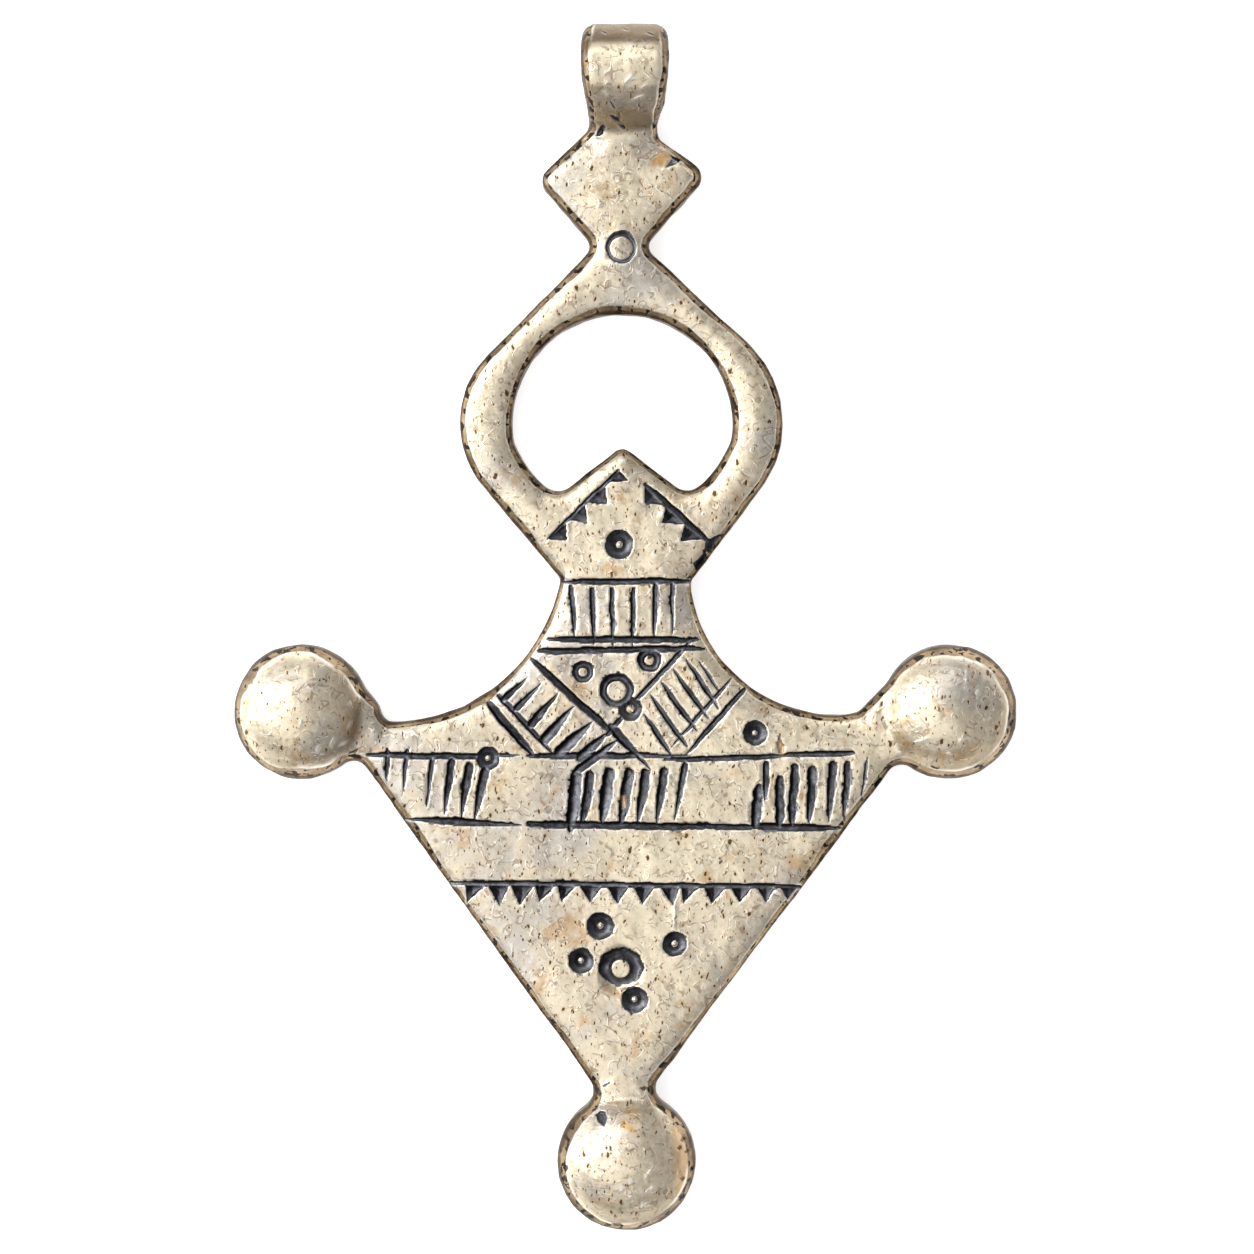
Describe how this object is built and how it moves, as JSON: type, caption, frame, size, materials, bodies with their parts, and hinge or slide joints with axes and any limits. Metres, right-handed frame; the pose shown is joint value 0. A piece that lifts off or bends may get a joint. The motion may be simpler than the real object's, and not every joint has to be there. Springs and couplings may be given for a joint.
{
  "type": "tuareg cross pendant",
  "caption": "Cast pendant: a triangle with hollow shoulders and domed knobs under a ring, a lozenge and a rolled bail.",
  "frame": {"origin": "middle of the outline, on the flat back", "axes": "+Y towards the bail, +Z out of the engraved front, +X to the right seen from the front"},
  "size_m": [0.0488, 0.075, 0.0062],
  "materials": {
    "aged_silver": "aged cast silver, hammered and worn, dark in its grooves"
  },
  "bodies": {
    "root": {"cross_pendant": "aged_silver"}
  },
  "joints": []
}
